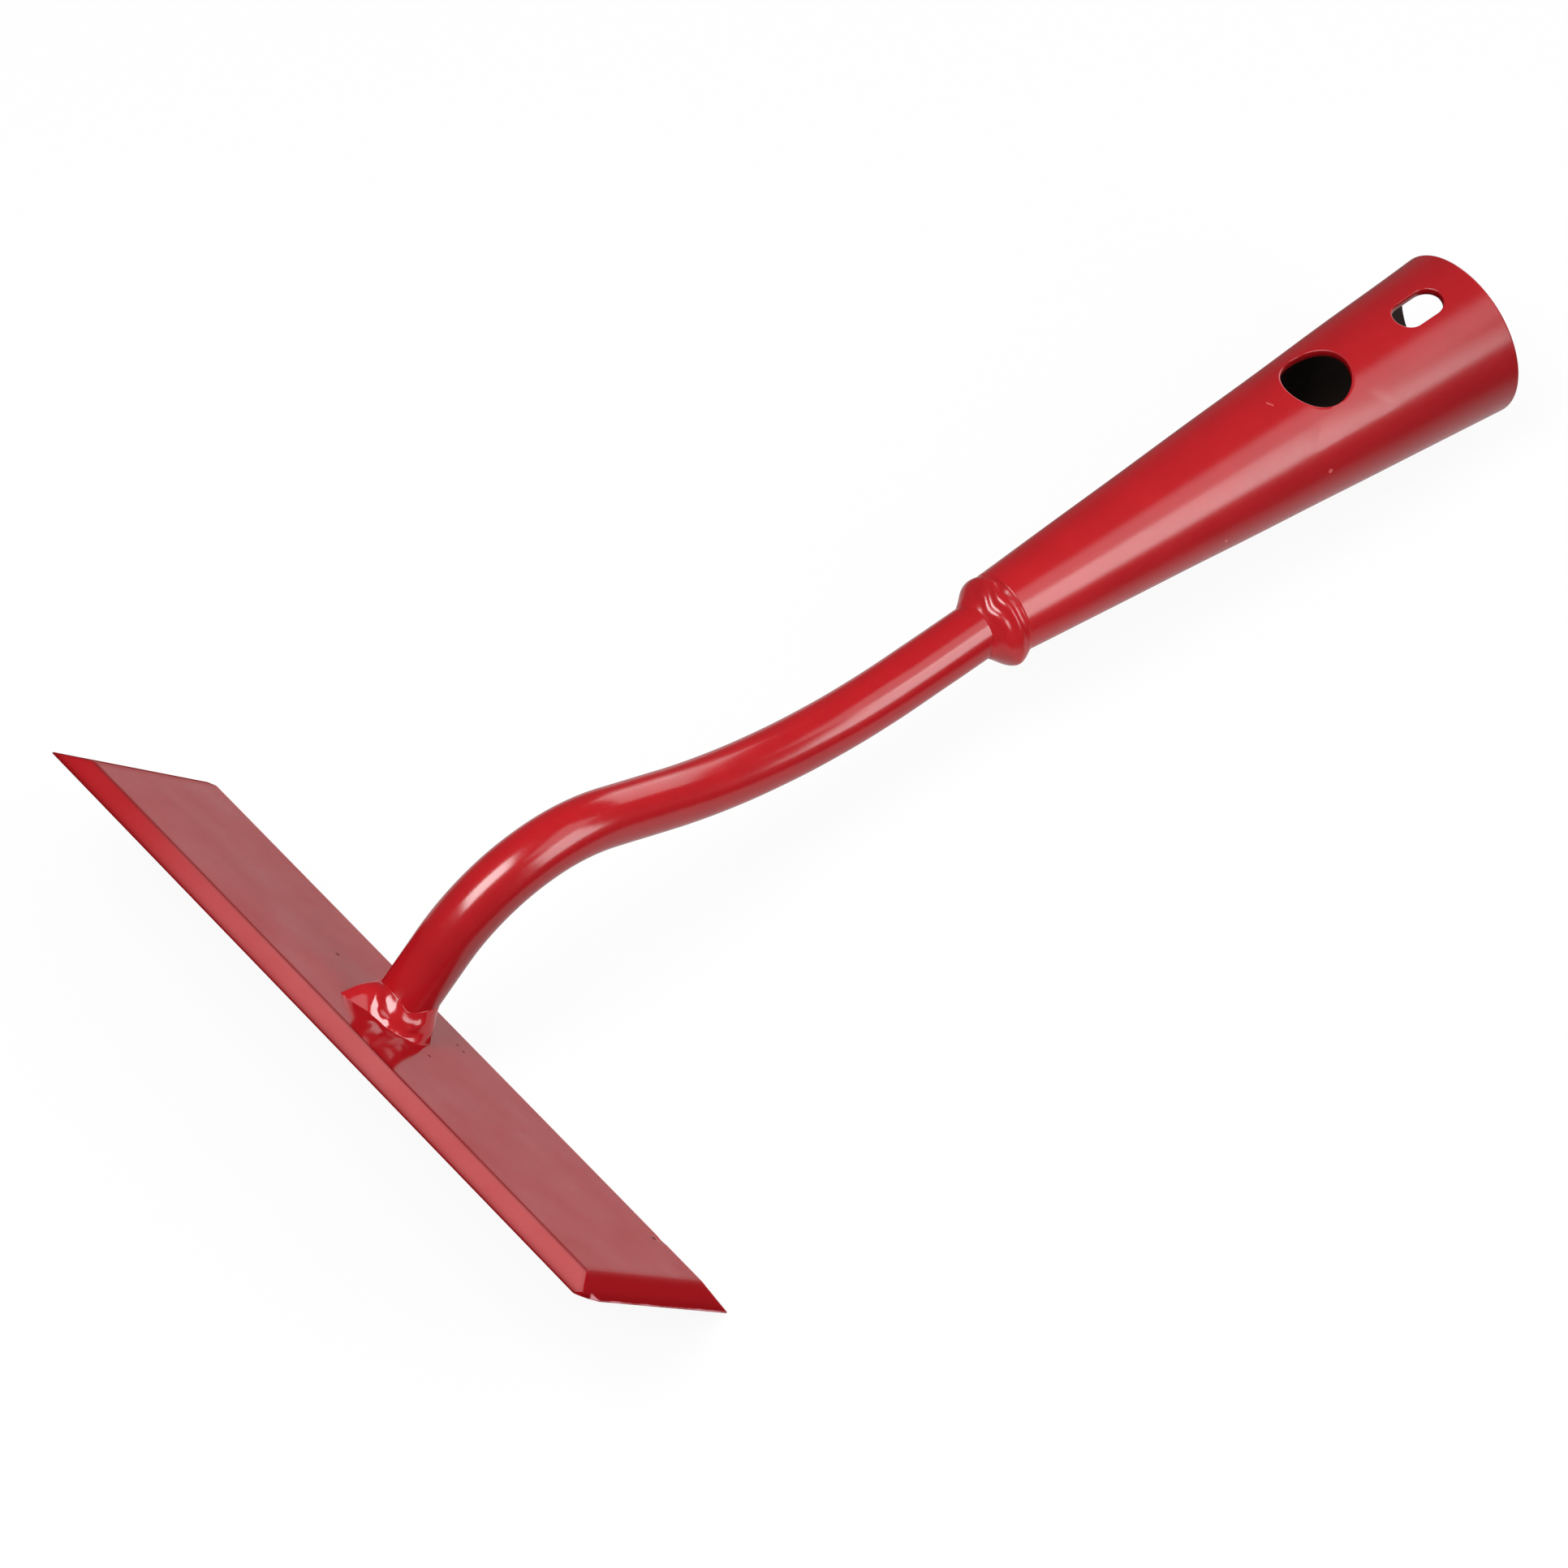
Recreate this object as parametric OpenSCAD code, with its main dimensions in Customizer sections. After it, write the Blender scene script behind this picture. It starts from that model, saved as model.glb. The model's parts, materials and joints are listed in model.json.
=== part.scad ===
// Dutch hoe head without its handle: a bevelled blade, a swan neck bent from round bar and a tapered
// socket rolled from sheet, joined by two welds. Millimetres.
//
// The head lies as it does on a table: on the blade's back edge and on the lowest point of the socket's
// mouth. X runs along the blade, Y towards the mouth and Z up from the table.

/* [Blade] */
// Length of the blade, along its front edge
blade_length = 165; // [120:1:220]
// Width of the blade, from its front edge to its back edge
blade_width = 52; // [44:1:80]
// Thickness of the plate
blade_thickness = 3; // [2:0.1:5]
// Width of the bevel ground along all four edges
bevel_run = 5.5; // [3:0.1:8]
// Height of the blunt land left under the bevel
edge_land = 0.3; // [0.2:0.05:0.8]
// Length of the worn front corner at the right end, along the front edge
worn_along_front = 2; // [0.5:0.5:8]
// Length of the worn front corner at the right end, along the end edge
worn_along_end = 6.5; // [1:0.5:12]

/* [Neck] */
// Diameter of the round bar
neck_d = 12; // [8:0.5:16]
// Angle at which the bar leaves the blade, from the blade's back half
foot_angle = 92.5; // [86:0.5:98]
// Straight length above the blade
foot_length = 17; // [12:0.5:40]
// Centre-line radius of the bend above the foot
first_bend_r = 37; // [24:1:60]
// Turn of the bend above the foot
first_bend_turn = 68.5; // [50:0.5:85]
// Straight length between the two bends
middle_length = 15; // [2:0.5:40]
// Centre-line radius of the gentle bend before the socket
second_bend_r = 143; // [60:1:220]
// Turn of the gentle bend before the socket
second_bend_turn = 26; // [10:0.5:40]
// Straight length from the gentle bend to the bar's end in the socket
tail_length = 33; // [24:0.5:60]

/* [Socket] */
// Length of the socket
socket_length = 127; // [90:1:180]
// Outside diameter of the mouth
mouth_d = 37; // [30:0.5:48]
// Thickness of the sheet
socket_wall = 1.8; // [1:0.1:3]
// Room between the bar and the inside of the small end
neck_room = 1.2; // [0.8:0.1:2]
// How far the bar reaches into the socket
neck_insert = 8; // [4:0.5:16]
// Angle between the bar's tail and the socket's axis
socket_lean = 5; // [0:0.5:7]
// Diameter of the round hole in the upper side
hole_d = 14.7; // [5:0.1:18]
// Distance from the mouth to the centre of the round hole
hole_from_mouth = 42.5; // [36:0.5:60]
// Length of the slot near the mouth
slot_length = 12; // [8:0.5:16]
// Width of the slot
slot_width = 7.2; // [4:0.2:10]
// Distance from the mouth to the centre of the slot
slot_from_mouth = 14.2; // [11:0.2:20]
// Opening left in the rolled seam on the lower side
seam_gap = 0.5; // [0.2:0.1:1]

/* [Welds] */
// How far the weld at the blade climbs the bar
foot_weld_height = 5.5; // [3:0.5:9]
// How far the weld at the blade spreads beyond the bar
foot_weld_spread = 2.6; // [1.5:0.1:5]
// Radius of the largest puddle at the blade
puddle_r = 5; // [3.5:0.1:7]
// Height of the largest puddle at the blade
puddle_height = 2.8; // [1.5:0.1:4]
// How far the weld at the socket's small end runs along the bar
socket_weld_run = 7.5; // [4:0.5:12]
// Height of that weld's edge above the bar
socket_weld_edge = 0.4; // [0.2:0.1:1]
// Radius of the bead at the socket's small end
bead_r = 3.2; // [2.4:0.1:4]
// Distance from the bar's surface out to the middle of the bead
bead_offset = 0.2; // [0:0.1:1.5]
// Distance from the socket's end back to the middle of the bead
bead_setback = 1.6; // [0.6:0.1:2.4]
// Shift of the bead towards its heavy side
bead_shift = 0.9; // [0:0.1:1.2]
// Angle by which the bead is run on askew
bead_skew = 9; // [0:1:15]
// Place of the heavy side of the bead, as an angle from the top towards the right
heavy_side = 120; // [0:5:360]

/* [Hidden] */

$fn = 96;
paint_red = "#b3202a";
weld_red = "#a81a22";
// Distance by which a cutter runs past the face that it cuts
overcut = 1;
// Loss of radius where the bar was drawn thinner by bending
bend_thinning = 0.02;
// Distance by which a straight stretch laps over the bend that it meets
bend_lap = 0.3;
// Puddles of the weld at the blade: direction from the bar's axis, then the distance from the bar's
// surface to the puddle's middle and the radius, both in radii of the largest puddle, and the height, in
// heights of the largest puddle
blade_puddles = [
    [40, 0.15, 1, 1],
    [170, 0.25, 0.9, 0.8],
    [220, 0.7, 0.85, 0.55],
    [234, 1.35, 0.5, 0.35],
];

// Points of the symmetry plane are [y, z] in the blade's own frame: y from the middle of the blade
// towards its back edge, z up from its flat underside. Angles turn from +y towards +z.
function along(angle) = [cos(angle), sin(angle)];
function beside(angle) = [-sin(angle), cos(angle)];

neck_r = neck_d / 2;
foot_start = [0, blade_thickness];
foot_end = foot_start + foot_length * along(foot_angle);
first_centre = foot_end - first_bend_r * beside(foot_angle);
middle_angle = foot_angle - first_bend_turn;
middle_start = first_centre + first_bend_r * beside(middle_angle);
middle_end = middle_start + middle_length * along(middle_angle);
second_centre = middle_end + second_bend_r * beside(middle_angle);
tail_angle = middle_angle + second_bend_turn;
tail_start = second_centre - second_bend_r * beside(tail_angle);

// The bar's axis crosses the socket's axis in the plane of the small end
mouth_r = mouth_d / 2;
small_end_r = neck_r + neck_room + socket_wall;
taper = (mouth_r - small_end_r) / socket_length;
socket_angle = tail_angle - socket_lean;
small_end = tail_start + (tail_length - neck_insert) * along(tail_angle);
mouth = small_end + socket_length * along(socket_angle);

// Turn and shift that lay the head on the table, with the origin below the middle of its box
back_edge = [blade_width / 2, 0];
front_edge = [-blade_width / 2, 0];
mouth_low = mouth - mouth_r * beside(socket_angle);
mouth_high = mouth + mouth_r * beside(socket_angle);
rest_line = mouth_low - back_edge;
rest_tilt = atan2(rest_line[1], rest_line[0]);
function rest_y(point) = (point - back_edge) * along(rest_tilt);
middle_y = (rest_y(front_edge) + rest_y(mouth_high)) / 2;

module laid_on_table() {
    translate([0, -middle_y, 0])
        rotate([-rest_tilt, 0, 0])
            translate([0, -back_edge[0], -back_edge[1]])
                children();
}

// Draws in the symmetry plane: x of the drawing is y of the blade's frame, y of the drawing is z
module in_symmetry_plane() {
    rotate([90, 0, 90]) children();
}

// Stands children on a point of the symmetry plane with their z along the angle and their -y upwards
module stood_at(point, angle) {
    translate([0, point[0], point[1]]) rotate([angle - 90, 0, 0]) children();
}

module straight_bar(start, angle, length) {
    stood_at(start, angle) cylinder(r = neck_r, h = length);
}

module bent_bar(centre, radius, from_angle, turn) {
    in_symmetry_plane()
        translate([centre[0], centre[1], 0])
            rotate(from_angle)
                rotate_extrude(angle = turn)
                    translate([radius, 0])
                        circle(r = neck_r - bend_thinning);
}

// The foot starts below the plate's top face, so that the face can trim it flush
module foot_bar() {
    sunk = neck_r;
    straight_bar(foot_start - sunk * along(foot_angle), foot_angle, sunk + foot_length + bend_lap);
}

module middle_bar() {
    straight_bar(middle_start - bend_lap * along(middle_angle), middle_angle, middle_length + 2 * bend_lap);
}

module tail_bar() {
    straight_bar(tail_start - bend_lap * along(tail_angle), tail_angle, bend_lap + tail_length);
}

// A block below the plate's top face, large enough to trim the foot and the weld flush with it
module below_plate_top() {
    side = blade_width;
    translate([-side / 2, -side / 2, blade_thickness - side]) cube(side);
}

module bevelled_section(width) {
    polygon([
        [-width / 2, 0], [width / 2, 0], [width / 2, edge_land], [width / 2 - bevel_run, blade_thickness],
        [-width / 2 + bevel_run, blade_thickness], [-width / 2, edge_land],
    ]);
}

// What was worn off the right front corner, from the edges of the blade outwards
module worn_corner() {
    translate([blade_length / 2, -blade_width / 2, -overcut])
        linear_extrude(height = blade_thickness + 2 * overcut)
            polygon([
                [-worn_along_front, 0], [0, worn_along_end], [overcut, worn_along_end],
                [overcut, -overcut], [-worn_along_front, -overcut],
            ]);
}

module blade() {
    color(paint_red) laid_on_table() difference() {
        intersection() {
            in_symmetry_plane()
                linear_extrude(height = blade_length, center = true) bevelled_section(blade_width);
            rotate([90, 0, 0])
                linear_extrude(height = blade_width, center = true) bevelled_section(blade_length);
        }
        worn_corner();
    }
}

module neck() {
    color(paint_red) laid_on_table() difference() {
        union() {
            foot_bar();
            bent_bar(first_centre, first_bend_r, middle_angle + 90, first_bend_turn);
            middle_bar();
            bent_bar(second_centre, second_bend_r, middle_angle - 90, second_bend_turn);
            tail_bar();
        }
        below_plate_top();
    }
}

// A cone on the socket's axis, set in from the socket's outside and running past both of its ends
module socket_cone(inset, past) {
    translate([0, 0, -past])
        cylinder(
            r1 = small_end_r - inset - taper * past,
            r2 = mouth_r - inset + taper * past,
            h = socket_length + 2 * past
        );
}

module slot_outline() {
    straight = slot_length - slot_width;
    square([slot_width, straight], center = true);
    for (end = [-1, 1])
        translate([0, end * straight / 2]) circle(d = slot_width);
}

// Holes on the upper side, cut from the socket's axis outwards
module socket_holes() {
    translate([0, 0, socket_length - hole_from_mouth])
        rotate([90, 0, 0]) cylinder(d = hole_d, h = mouth_r + overcut);
    translate([0, 0, socket_length - slot_from_mouth])
        rotate([90, 0, 0]) linear_extrude(height = mouth_r + overcut) slot_outline();
}

module rolled_seam() {
    translate([-seam_gap / 2, 0, -overcut])
        cube([seam_gap, mouth_r + overcut, socket_length + 2 * overcut]);
}

module socket_tube() {
    difference() {
        socket_cone(0, 0);
        socket_cone(socket_wall, overcut);
    }
}

module socket() {
    color(paint_red) laid_on_table() stood_at(small_end, socket_angle) difference() {
        difference() {
            socket_tube();
            socket_holes();
        }
        rolled_seam();
    }
}

// A low round puddle of weld metal on the plate: the cap of a sphere, as wide and as high as given
module puddle(direction, beyond_bar, radius, height) {
    sphere_r = (radius * radius + height * height) / (2 * height);
    rotate(direction)
        translate([neck_r + beyond_bar, 0, blade_thickness + height - sphere_r])
            sphere(r = sphere_r);
}

// The weld lumps up at the right back and runs out to the left front
module blade_weld() {
    color(weld_red) laid_on_table() difference() {
        union() {
            translate([0, 0, blade_thickness])
                cylinder(r1 = neck_r + foot_weld_spread, r2 = neck_r, h = foot_weld_height);
            for (place = blade_puddles)
                puddle(place[0], place[1] * puddle_r, place[2] * puddle_r, place[3] * puddle_height);
        }
        foot_bar();
        below_plate_top();
    }
}

// The heavy bead round the bar: a ring run on askew and thicker on its heavy side
module bead_ring() {
    rotate(heavy_side - 90)
        translate([bead_shift, 0, -bead_setback])
            rotate([0, bead_skew, 0])
                rotate_extrude() translate([neck_r + bead_offset, 0]) circle(r = bead_r);
}

// The flank of the weld: a cone on the bar's axis, from a low edge on the bar to the socket's end
module weld_flank() {
    translate([0, 0, -socket_weld_run])
        cylinder(r1 = neck_r + socket_weld_edge, r2 = small_end_r, h = socket_weld_run);
}

module socket_weld() {
    color(weld_red) laid_on_table() difference() {
        union() {
            stood_at(small_end, socket_angle) bead_ring();
            stood_at(small_end, tail_angle) weld_flank();
        }
        tail_bar();
        stood_at(small_end, socket_angle) socket_cone(0, 0);
    }
}

blade();
neck();
socket();
blade_weld();
socket_weld();
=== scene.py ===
"""Looks of a dutch hoe head: a bevelled blade, a swan neck, a rolled handle socket and two welds, all red.

Each piece is a surface worked out on a grid of two parameters. A piece's sizes are in millimetres, in the
frame of its sub-assembly, and a Placement carries them, in metres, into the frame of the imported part.
"""

import json
import logging
import math
from collections.abc import Mapping, Sequence
from dataclasses import dataclass, replace
from enum import Enum
from typing import Any, NamedTuple

import bmesh
import bpy
import numpy as np
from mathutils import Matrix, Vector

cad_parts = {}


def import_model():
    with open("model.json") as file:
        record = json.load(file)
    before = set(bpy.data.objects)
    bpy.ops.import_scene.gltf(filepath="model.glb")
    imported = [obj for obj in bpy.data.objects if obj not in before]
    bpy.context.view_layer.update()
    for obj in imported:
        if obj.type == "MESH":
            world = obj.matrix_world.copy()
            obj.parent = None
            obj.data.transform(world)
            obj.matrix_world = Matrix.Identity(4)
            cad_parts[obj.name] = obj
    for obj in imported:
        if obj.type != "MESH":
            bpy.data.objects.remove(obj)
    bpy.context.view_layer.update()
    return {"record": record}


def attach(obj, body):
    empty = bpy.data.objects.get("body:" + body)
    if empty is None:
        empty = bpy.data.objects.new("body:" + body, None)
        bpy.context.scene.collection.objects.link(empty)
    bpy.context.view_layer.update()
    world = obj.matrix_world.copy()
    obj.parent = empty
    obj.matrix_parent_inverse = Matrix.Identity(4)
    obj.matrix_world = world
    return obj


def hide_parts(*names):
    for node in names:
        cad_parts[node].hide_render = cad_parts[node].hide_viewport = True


Array = np.ndarray
Numbers = np.ndarray | float
Colour = tuple[float, float, float]

MM = 0.001
MERGE_DISTANCE = 1e-6
TINY = 1e-9
NOISE_MIDDLE = 0.5
WHITE: Colour = (1.0, 1.0, 1.0)
BODY = "root"
LOG = logging.getLogger("hoe_head")


class PaintSlot(Enum):
    """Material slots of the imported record."""

    BLADE = "blade_paint"
    BAR = "bar_paint"
    SOCKET = "socket_paint"
    WELD = "weld_paint"


@dataclass(frozen=True)
class Placement:
    """A local frame in the frame of the part: an origin in metres and three unit axes."""

    origin: Array
    right: Array
    ahead: Array
    up: Array

    @classmethod
    def on_mount(cls, mount: Mapping[str, Any], up: Array, sunk: float = 0.0) -> "Placement":
        """Lay a frame on a mount of the record, with its first axis along X of the part.

        Args:
            mount: The record's mount, with its place in metres.
            up: The third axis of the frame.
            sunk: Distance in millimetres by which the origin lies behind the mount, along its axis.

        Returns:
            The frame.
        """
        right = np.array((1.0, 0.0, 0.0))
        axis = np.array(mount["axis"])
        origin = np.array(mount["pos_m"]) - sunk * MM * axis
        return cls(origin, right, np.cross(up, right), up)

    def to_part(self, x: Numbers, y: Numbers, z: Numbers) -> Array:
        """Carry local millimetres into the frame of the part.

        Args:
            x: Distances along the first axis.
            y: Distances along the second axis.
            z: Distances along the third axis.

        Returns:
            Points in metres, with the three coordinates on the last axis.
        """
        local = np.stack(np.broadcast_arrays(x, y, z), axis=-1) * MM
        return self.origin + local @ np.stack((self.right, self.ahead, self.up))


class MeshDraft:
    """Vertices, faces and masks of one piece, gathered grid by grid."""

    def __init__(self, *mask_names: str) -> None:
        """Start an empty draft.

        Args:
            mask_names: Names of the values that every vertex carries for the material.
        """
        self.mask_names = mask_names
        self.points: list[Array] = []
        self.masks: list[Array] = []
        self.faces: list[Array] = []
        self.face_slots: list[Array] = []
        self.count = 0

    def add_points(self, points: Array, **masks: Numbers) -> Array:
        """Add a grid of points.

        Args:
            points: Points in metres, with the three coordinates on the last axis.
            masks: Values of the masks by name. A mask that isn't given is 0.

        Returns:
            The vertex numbers, in the shape of the grid.
        """
        shape = points.shape[:-1]
        index = self.count + np.arange(math.prod(shape)).reshape(shape)
        self.count += index.size
        self.points.append(points.reshape(-1, 3))
        values = [np.broadcast_to(masks.get(name, 0.0), shape).ravel() for name in self.mask_names]
        self.masks.append(np.array(values))
        return index

    def add_faces(self, index: Array, closed: bool = False, keep: Array | None = None, slot: int = 0) -> None:
        """Join the neighbours of a grid of vertex numbers by four-sided faces.

        Args:
            index: Vertex numbers in rows and columns.
            closed: Whether the last column joins the first.
            keep: Which of the faces are wanted, in rows and columns, where some are left out.
            slot: Material slot of the faces.
        """
        if closed:
            index = np.concatenate((index, index[:, :1]), axis=1)
        quads = np.stack((index[:-1, :-1], index[:-1, 1:], index[1:, 1:], index[1:, :-1]), axis=-1)
        quads = quads.reshape(-1, 4) if keep is None else quads[keep]
        self.faces.append(quads)
        self.face_slots.append(np.full(len(quads), slot))

    def build(self, name: str, crease: float, *materials: bpy.types.Material) -> bpy.types.Object:
        """Make the object, with its doubles merged and its faces turned outwards.

        Args:
            name: Name of the piece.
            crease: Angle in degrees past which an edge is shaded sharp.
            materials: Materials in the order of the slots.

        Returns:
            The object, linked to the scene.
        """
        mesh = bpy.data.meshes.new(name)
        mesh.from_pydata(np.concatenate(self.points).tolist(), [], np.concatenate(self.faces).tolist())
        mesh.polygons.foreach_set("material_index", np.concatenate(self.face_slots).astype(np.int32))
        for row, mask_name in enumerate(self.mask_names):
            values = np.concatenate([mask[row] for mask in self.masks]).astype(np.float32)
            mesh.attributes.new(mask_name, "FLOAT", "POINT").data.foreach_set("value", values)
        shell = bmesh.new()
        shell.from_mesh(mesh)
        bmesh.ops.remove_doubles(shell, verts=shell.verts, dist=MERGE_DISTANCE)
        bmesh.ops.recalc_face_normals(shell, faces=shell.faces)
        shell.to_mesh(mesh)
        shell.free()
        mesh.shade_smooth()
        mesh.set_sharp_from_angle(angle=math.radians(crease))
        for material in materials:
            mesh.materials.append(material)
        piece = bpy.data.objects.new(name, mesh)
        bpy.context.scene.collection.objects.link(piece)
        return piece


class Signal:
    """A shader socket for Python expressions: each operator adds a Math node."""

    def __init__(self, graph: "ShaderGraph", socket: bpy.types.NodeSocket) -> None:
        """Wrap a socket of a graph."""
        self.graph = graph
        self.socket = socket

    def __add__(self, other: "Signal | float") -> "Signal":
        """Add."""
        return self.graph.math("ADD", self, other)

    def __radd__(self, other: float) -> "Signal":
        """Add to a number."""
        return self.graph.math("ADD", other, self)

    def __sub__(self, other: "Signal | float") -> "Signal":
        """Take away."""
        return self.graph.math("SUBTRACT", self, other)

    def __rsub__(self, other: float) -> "Signal":
        """Take from a number."""
        return self.graph.math("SUBTRACT", other, self)

    def __mul__(self, other: "Signal | float") -> "Signal":
        """Multiply."""
        return self.graph.math("MULTIPLY", self, other)

    def __rmul__(self, other: float) -> "Signal":
        """Multiply a number."""
        return self.graph.math("MULTIPLY", other, self)

    def clamped(self) -> "Signal":
        """Keep the value between 0 and 1."""
        return self.graph.node("ShaderNodeClamp", {}, {"Value": self})


def opaque(colour: Signal | Colour) -> Signal | tuple[float, ...]:
    """Give a plain colour its fourth channel, and leave a signal as it is."""
    return colour if isinstance(colour, Signal) else (*colour, 1.0)


@dataclass(frozen=True)
class Spot:
    """A round speck at one place: its middle in metres, in the frame of the part, and its radius in mm."""

    middle: tuple[float, float, float]
    radius: float

    @classmethod
    def at(cls, point: Array, radius: float) -> "Spot":
        """Put a spot at a point of the part."""
        return cls(tuple(point.tolist()), radius)


class ShaderGraph:
    """A node tree that is written as nodes and expressions."""

    MIX_FACTOR = 0
    MIX_FIRST_COLOUR = 6
    MIX_SECOND_COLOUR = 7
    MIX_COLOUR = 2

    def __init__(self, tree: bpy.types.NodeTree) -> None:
        """Take over a node tree and empty it."""
        self.tree = tree
        tree.nodes.clear()

    @classmethod
    def of_material(cls, name: str) -> tuple[bpy.types.Material, "ShaderGraph"]:
        """Make a material.

        Args:
            name: Name of the material.

        Returns:
            The material and its empty graph.
        """
        material = bpy.data.materials.new(name)
        material.use_nodes = True
        return material, cls(material.node_tree)

    def add(
        self, kind: str, settings: Mapping[str, Any], sockets: Mapping[str | int, Any]
    ) -> bpy.types.Node:
        """Add a node: every node of the tree is made here.

        Args:
            kind: Blender's name for the type of the node.
            settings: Properties of the node, set first.
            sockets: Values or signals of its inputs, by name or number.

        Returns:
            The node.
        """
        node = self.tree.nodes.new(kind)
        for name, value in settings.items():
            setattr(node, name, value)
        for key, value in sockets.items():
            if isinstance(value, Signal):
                self.tree.links.new(value.socket, node.inputs[key])
            else:
                node.inputs[key].default_value = value
        return node

    def node(
        self,
        kind: str,
        settings: Mapping[str, Any],
        sockets: Mapping[str | int, Any],
        output: str | int = 0,
    ) -> Signal:
        """Add a node and take one of its outputs.

        Args:
            kind: Blender's name for the type of the node.
            settings: Properties of the node.
            sockets: Values or signals of its inputs.
            output: Name or number of the output that is wanted.

        Returns:
            The wanted output.
        """
        return Signal(self, self.add(kind, settings, sockets).outputs[output])

    def finish(self, shader: Signal, output: str = "ShaderNodeOutputMaterial") -> None:
        """Join a shader to the surface."""
        self.add(output, {}, {"Surface": shader})

    def math(self, operation: str, first: Signal | float, second: Signal | float) -> Signal:
        """Work out a value from two others by a Math node."""
        return self.node("ShaderNodeMath", {"operation": operation}, {0: first, 1: second})

    def blend(self, factor: Signal, first: Signal | Colour, second: Signal | Colour) -> Signal:
        """Mix two colours.

        Args:
            factor: 0 for the first colour, 1 for the second.
            first: First colour.
            second: Second colour.

        Returns:
            The mixed colour.
        """
        sockets = {
            self.MIX_FACTOR: factor,
            self.MIX_FIRST_COLOUR: opaque(first),
            self.MIX_SECOND_COLOUR: opaque(second),
        }
        return self.node("ShaderNodeMix", {"data_type": "RGBA"}, sockets, self.MIX_COLOUR)

    def place(self) -> Signal:
        """Give the place on the piece, in metres."""
        return self.node("ShaderNodeTexCoord", {}, {}, "Object")

    def coordinate(self, vector: Signal, axis: str) -> Signal:
        """Give one coordinate of a vector: X, Y or Z."""
        return self.node("ShaderNodeSeparateXYZ", {}, {"Vector": vector}, axis)

    def distance(self, place: Signal, middle: tuple[float, float, float]) -> Signal:
        """Give the distance of a place from a point, in metres."""
        return self.node("ShaderNodeVectorMath", {"operation": "DISTANCE"}, {0: place, 1: middle}, "Value")

    def mask(self, name: str) -> Signal:
        """Give a value that the vertices carry."""
        return self.node("ShaderNodeAttribute", {"attribute_name": name}, {}, "Fac")

    def ray(self, fact: str) -> Signal:
        """Give a fact about the ray that meets the surface, such as Is Camera Ray."""
        return self.node("ShaderNodeLightPath", {}, {}, fact)

    def noise(self, place: Signal, size: float, detail: float = 2.0) -> Signal:
        """Give soft noise from 0 to 1 on the piece.

        Args:
            place: Place on the piece, in metres.
            size: Size of a blotch in millimetres.
            detail: Number of finer layers.

        Returns:
            The noise.
        """
        sockets = {"Vector": place, "Scale": 1 / (size * MM), "Detail": detail}
        return self.node("ShaderNodeTexNoise", {}, sockets)

    def bump(self, height: Signal, depth: float) -> Signal:
        """Give the normal of a surface that is raised by up to a depth in millimetres."""
        return self.node("ShaderNodeBump", {}, {"Strength": 1.0, "Distance": depth * MM, "Height": height})

    def specks(self, place: Signal, spacing: float, radius: float, share: float) -> Signal:
        """Give round specks, one in some of the cells of a scattered pattern.

        Args:
            place: Place on the piece, in metres.
            spacing: Mean distance between cells in millimetres.
            radius: Radius of a speck in millimetres.
            share: Share of the cells that hold a speck.

        Returns:
            1 in a speck and 0 outside.
        """
        sockets = {"Vector": place, "Scale": 1 / (spacing * MM)}
        distance = self.node("ShaderNodeTexVoronoi", {}, sockets, "Distance")
        cell = self.node("ShaderNodeTexVoronoi", {}, sockets, "Color")
        chance = self.node("ShaderNodeSeparateColor", {}, {"Color": cell})
        chosen = self.math("LESS_THAN", chance, share)
        return chosen * self.math("LESS_THAN", distance, radius / spacing)

    def spot(self, place: Signal, spot: Spot) -> Signal:
        """Give 1 inside a spot and 0 outside."""
        return self.math("LESS_THAN", self.distance(place, spot.middle), spot.radius * MM)

    def within(self, distance: Signal, reach: float, fade: float) -> Signal:
        """Give 1 nearer than the reach and 0 farther, with an even change over the fade round the reach."""
        return (0.5 + (reach - distance) * (1 / fade)).clamped()


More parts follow.
